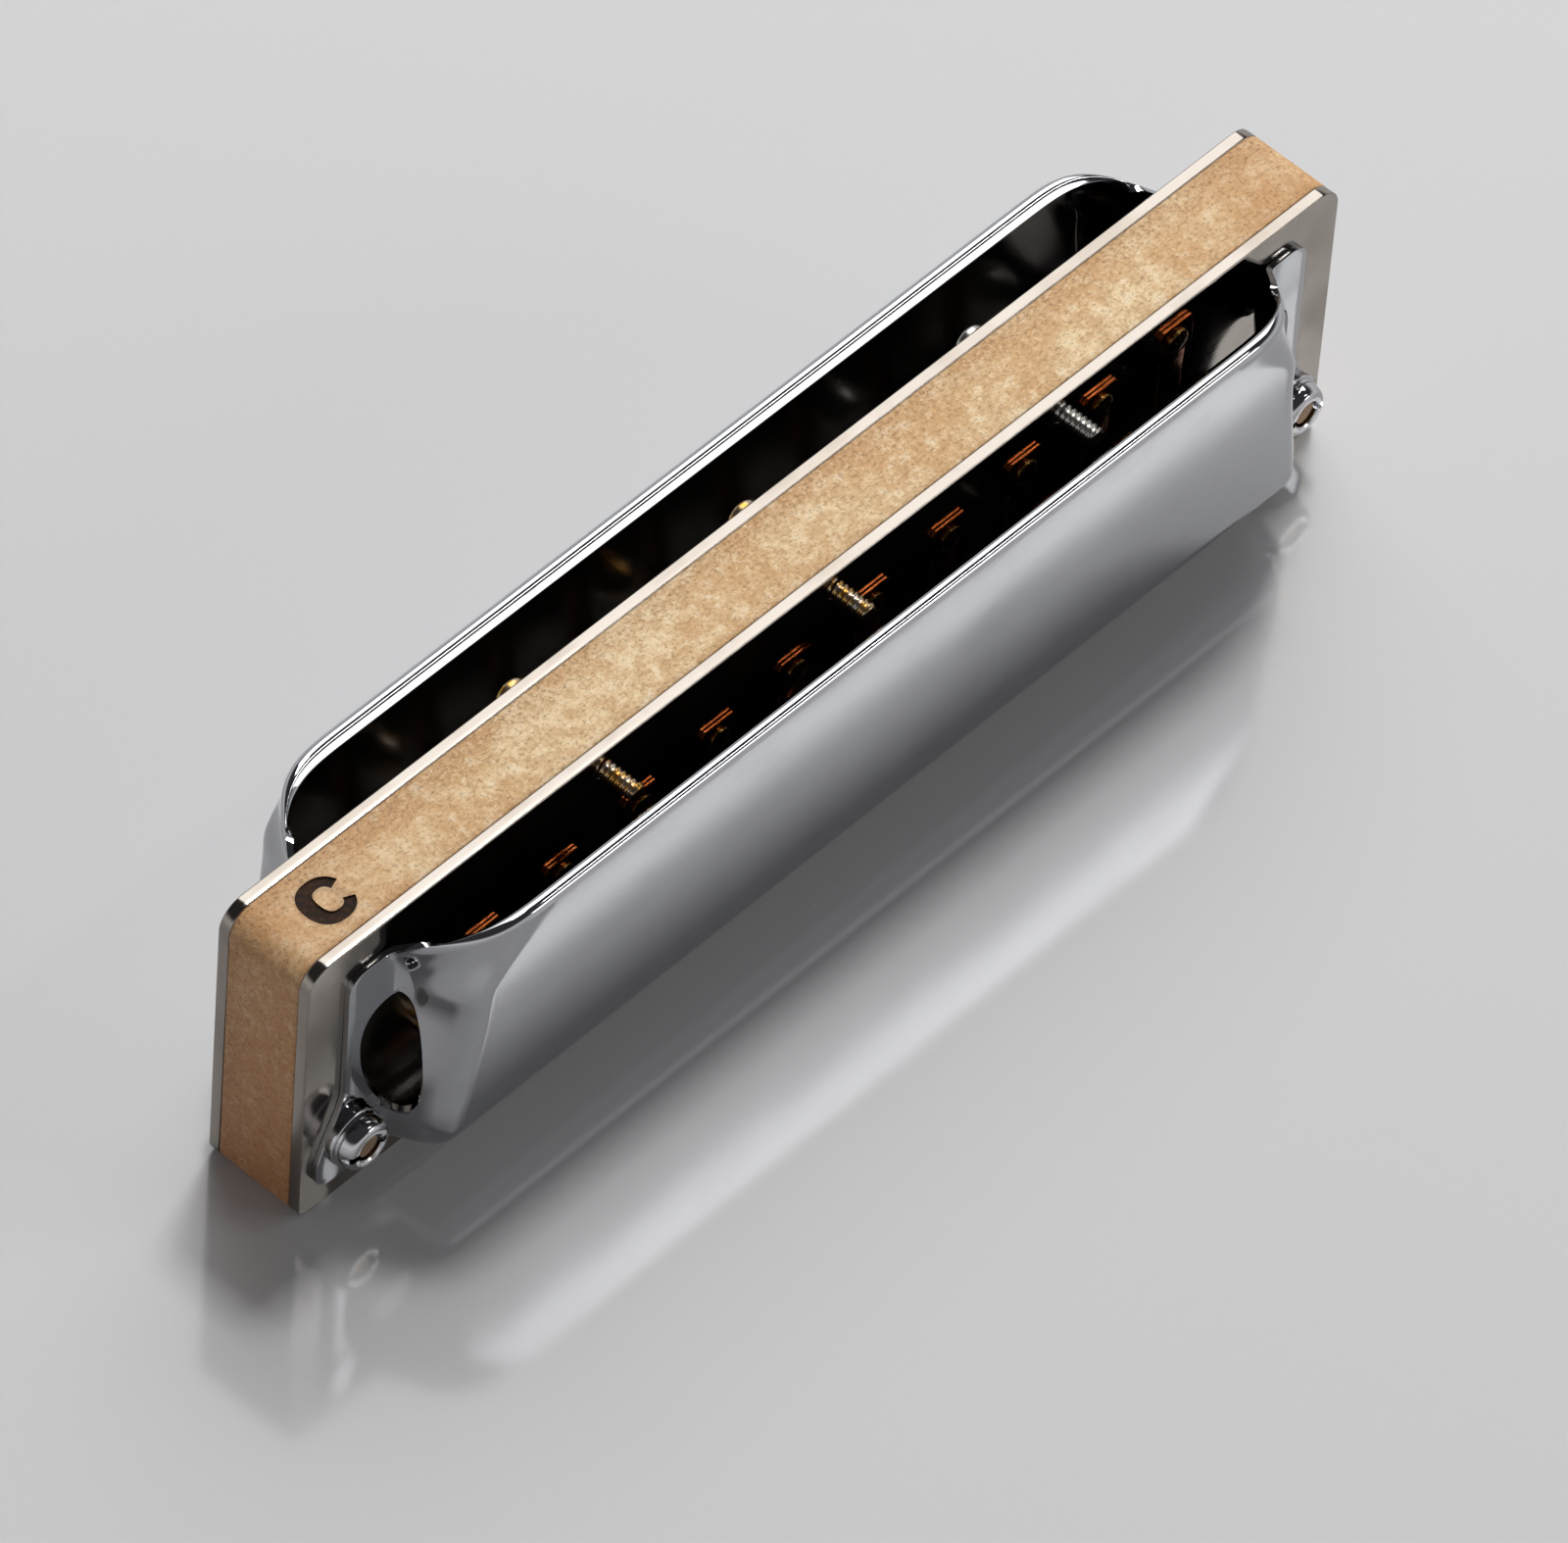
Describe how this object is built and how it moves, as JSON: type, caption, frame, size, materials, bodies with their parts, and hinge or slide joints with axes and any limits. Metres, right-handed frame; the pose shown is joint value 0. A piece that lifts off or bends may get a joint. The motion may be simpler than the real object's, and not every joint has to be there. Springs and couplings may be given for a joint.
{
  "type": "diatonic harmonica",
  "caption": "Diatonic harmonica with a wooden comb, riveted reeds on two reed plates, and pressed chrome covers open at the back, standing on its mouth face.",
  "frame": {"origin": "The middle of the mouth face that the harmonica stands on: the centre of the comb's length and thickness, at the holes.", "axes": "+X runs along the length towards hole 1, the low notes. +Y points out of the blow side, -Y out of the draw side. +Z points from the mouth face up to the back of the comb."},
  "size_m": [0.101, 0.0206, 0.025],
  "materials": {
    "comb_wood": "smooth sealed pearwood, light tan with fine mottling, a little darker on the end faces",
    "reed_plate": "nickel-plated brass sheet, softly polished, with bright cut edges",
    "cover_chrome": "mirror-polished stainless sheet",
    "reed_bronze": "bare spring bronze with fine file marks, orange where it catches the light",
    "rivet_brass": "bare brass, hammered heads",
    "screw_steel": "plated screw with a cut thread, slightly yellow",
    "cover_fastener": "bright plated bolt and round slotted nut"
  },
  "bodies": {
    "harmonica_body": {"comb": "comb_wood", "blow_reed_plate": "reed_plate", "draw_reed_plate": "reed_plate", "blow_cover": "cover_chrome", "draw_cover": "cover_chrome", "left_cover_bolt": "cover_fastener", "right_cover_bolt": "cover_fastener", "left_cover_nut": "cover_fastener", "right_cover_nut": "cover_fastener", "blow_rivet_1": "rivet_brass", "blow_rivet_2": "rivet_brass", "blow_rivet_3": "rivet_brass", "blow_rivet_4": "rivet_brass", "blow_rivet_5": "rivet_brass", "blow_rivet_6": "rivet_brass", "blow_rivet_7": "rivet_brass", "blow_rivet_8": "rivet_brass", "blow_rivet_9": "rivet_brass", "blow_rivet_10": "rivet_brass", "draw_rivet_1": "rivet_brass", "draw_rivet_2": "rivet_brass", "draw_rivet_3": "rivet_brass", "draw_rivet_4": "rivet_brass", "draw_rivet_5": "rivet_brass", "draw_rivet_6": "rivet_brass", "draw_rivet_7": "rivet_brass", "draw_rivet_8": "rivet_brass", "draw_rivet_9": "rivet_brass", "draw_rivet_10": "rivet_brass", "reed_plate_screw_1": "screw_steel", "reed_plate_screw_2": "screw_steel", "reed_plate_screw_3": "screw_steel", "reed_plate_screw_4": "screw_steel", "reed_plate_screw_5": "screw_steel", "reed_plate_screw_6": "screw_steel", "reed_plate_screw_7": "screw_steel", "reed_plate_screw_8": "screw_steel"},
    "blow_reed_1_tongue": {"blow_reed_1": "reed_bronze"},
    "blow_reed_2_tongue": {"blow_reed_2": "reed_bronze"},
    "blow_reed_3_tongue": {"blow_reed_3": "reed_bronze"},
    "blow_reed_4_tongue": {"blow_reed_4": "reed_bronze"},
    "blow_reed_5_tongue": {"blow_reed_5": "reed_bronze"},
    "blow_reed_6_tongue": {"blow_reed_6": "reed_bronze"},
    "blow_reed_7_tongue": {"blow_reed_7": "reed_bronze"},
    "blow_reed_8_tongue": {"blow_reed_8": "reed_bronze"},
    "blow_reed_9_tongue": {"blow_reed_9": "reed_bronze"},
    "blow_reed_10_tongue": {"blow_reed_10": "reed_bronze"},
    "draw_reed_1_tongue": {"draw_reed_1": "reed_bronze"},
    "draw_reed_2_tongue": {"draw_reed_2": "reed_bronze"},
    "draw_reed_3_tongue": {"draw_reed_3": "reed_bronze"},
    "draw_reed_4_tongue": {"draw_reed_4": "reed_bronze"},
    "draw_reed_5_tongue": {"draw_reed_5": "reed_bronze"},
    "draw_reed_6_tongue": {"draw_reed_6": "reed_bronze"},
    "draw_reed_7_tongue": {"draw_reed_7": "reed_bronze"},
    "draw_reed_8_tongue": {"draw_reed_8": "reed_bronze"},
    "draw_reed_9_tongue": {"draw_reed_9": "reed_bronze"},
    "draw_reed_10_tongue": {"draw_reed_10": "reed_bronze"}
  },
  "joints": [
    {"name": "blow_reed_1_flex", "type": "hinge", "parent": "harmonica_body", "child": "blow_reed_1_tongue", "pos_m": [0.03375, 0.00305, 0.0054], "axis": [1, 0, 0], "range_deg": [-4, 4], "stiffness_Nm_per_rad": 0.01, "deforming": ["blow_reed_1"]},
    {"name": "blow_reed_2_flex", "type": "hinge", "parent": "harmonica_body", "child": "blow_reed_2_tongue", "pos_m": [0.02625, 0.00305, 0.0054], "axis": [1, 0, 0], "range_deg": [-4, 4], "stiffness_Nm_per_rad": 0.01, "deforming": ["blow_reed_2"]},
    {"name": "blow_reed_3_flex", "type": "hinge", "parent": "harmonica_body", "child": "blow_reed_3_tongue", "pos_m": [0.01875, 0.00305, 0.0054], "axis": [1, 0, 0], "range_deg": [-4, 4], "stiffness_Nm_per_rad": 0.01, "deforming": ["blow_reed_3"]},
    {"name": "blow_reed_4_flex", "type": "hinge", "parent": "harmonica_body", "child": "blow_reed_4_tongue", "pos_m": [0.01125, 0.00305, 0.0054], "axis": [1, 0, 0], "range_deg": [-4, 4], "stiffness_Nm_per_rad": 0.01, "deforming": ["blow_reed_4"]},
    {"name": "blow_reed_5_flex", "type": "hinge", "parent": "harmonica_body", "child": "blow_reed_5_tongue", "pos_m": [0.00375, 0.00305, 0.0054], "axis": [1, 0, 0], "range_deg": [-4, 4], "stiffness_Nm_per_rad": 0.01, "deforming": ["blow_reed_5"]},
    {"name": "blow_reed_6_flex", "type": "hinge", "parent": "harmonica_body", "child": "blow_reed_6_tongue", "pos_m": [-0.00375, 0.00305, 0.0054], "axis": [1, 0, 0], "range_deg": [-4, 4], "stiffness_Nm_per_rad": 0.01, "deforming": ["blow_reed_6"]},
    {"name": "blow_reed_7_flex", "type": "hinge", "parent": "harmonica_body", "child": "blow_reed_7_tongue", "pos_m": [-0.01125, 0.00305, 0.0054], "axis": [1, 0, 0], "range_deg": [-4, 4], "stiffness_Nm_per_rad": 0.01, "deforming": ["blow_reed_7"]},
    {"name": "blow_reed_8_flex", "type": "hinge", "parent": "harmonica_body", "child": "blow_reed_8_tongue", "pos_m": [-0.01875, 0.00305, 0.0054], "axis": [1, 0, 0], "range_deg": [-4, 4], "stiffness_Nm_per_rad": 0.01, "deforming": ["blow_reed_8"]},
    {"name": "blow_reed_9_flex", "type": "hinge", "parent": "harmonica_body", "child": "blow_reed_9_tongue", "pos_m": [-0.02625, 0.00305, 0.0054], "axis": [1, 0, 0], "range_deg": [-4, 4], "stiffness_Nm_per_rad": 0.01, "deforming": ["blow_reed_9"]},
    {"name": "blow_reed_10_flex", "type": "hinge", "parent": "harmonica_body", "child": "blow_reed_10_tongue", "pos_m": [-0.03375, 0.00305, 0.0054], "axis": [1, 0, 0], "range_deg": [-4, 4], "stiffness_Nm_per_rad": 0.01, "deforming": ["blow_reed_10"]},
    {"name": "draw_reed_1_flex", "type": "hinge", "parent": "harmonica_body", "child": "draw_reed_1_tongue", "pos_m": [0.03375, -0.0043, 0.0207], "axis": [1, 0, 0], "range_deg": [-4, 4], "stiffness_Nm_per_rad": 0.01, "deforming": ["draw_reed_1"]},
    {"name": "draw_reed_2_flex", "type": "hinge", "parent": "harmonica_body", "child": "draw_reed_2_tongue", "pos_m": [0.02625, -0.0043, 0.0199], "axis": [1, 0, 0], "range_deg": [-4, 4], "stiffness_Nm_per_rad": 0.01, "deforming": ["draw_reed_2"]},
    {"name": "draw_reed_3_flex", "type": "hinge", "parent": "harmonica_body", "child": "draw_reed_3_tongue", "pos_m": [0.01875, -0.0043, 0.0191], "axis": [1, 0, 0], "range_deg": [-4, 4], "stiffness_Nm_per_rad": 0.01, "deforming": ["draw_reed_3"]},
    {"name": "draw_reed_4_flex", "type": "hinge", "parent": "harmonica_body", "child": "draw_reed_4_tongue", "pos_m": [0.01125, -0.0043, 0.0183], "axis": [1, 0, 0], "range_deg": [-4, 4], "stiffness_Nm_per_rad": 0.01, "deforming": ["draw_reed_4"]},
    {"name": "draw_reed_5_flex", "type": "hinge", "parent": "harmonica_body", "child": "draw_reed_5_tongue", "pos_m": [0.00375, -0.0043, 0.0175], "axis": [1, 0, 0], "range_deg": [-4, 4], "stiffness_Nm_per_rad": 0.01, "deforming": ["draw_reed_5"]},
    {"name": "draw_reed_6_flex", "type": "hinge", "parent": "harmonica_body", "child": "draw_reed_6_tongue", "pos_m": [-0.00375, -0.0043, 0.0167], "axis": [1, 0, 0], "range_deg": [-4, 4], "stiffness_Nm_per_rad": 0.01, "deforming": ["draw_reed_6"]},
    {"name": "draw_reed_7_flex", "type": "hinge", "parent": "harmonica_body", "child": "draw_reed_7_tongue", "pos_m": [-0.01125, -0.0043, 0.0159], "axis": [1, 0, 0], "range_deg": [-4, 4], "stiffness_Nm_per_rad": 0.01, "deforming": ["draw_reed_7"]},
    {"name": "draw_reed_8_flex", "type": "hinge", "parent": "harmonica_body", "child": "draw_reed_8_tongue", "pos_m": [-0.01875, -0.0043, 0.0151], "axis": [1, 0, 0], "range_deg": [-4, 4], "stiffness_Nm_per_rad": 0.01, "deforming": ["draw_reed_8"]},
    {"name": "draw_reed_9_flex", "type": "hinge", "parent": "harmonica_body", "child": "draw_reed_9_tongue", "pos_m": [-0.02625, -0.0043, 0.0143], "axis": [1, 0, 0], "range_deg": [-4, 4], "stiffness_Nm_per_rad": 0.01, "deforming": ["draw_reed_9"]},
    {"name": "draw_reed_10_flex", "type": "hinge", "parent": "harmonica_body", "child": "draw_reed_10_tongue", "pos_m": [-0.03375, -0.0043, 0.0135], "axis": [1, 0, 0], "range_deg": [-4, 4], "stiffness_Nm_per_rad": 0.01, "deforming": ["draw_reed_10"]}
  ]
}
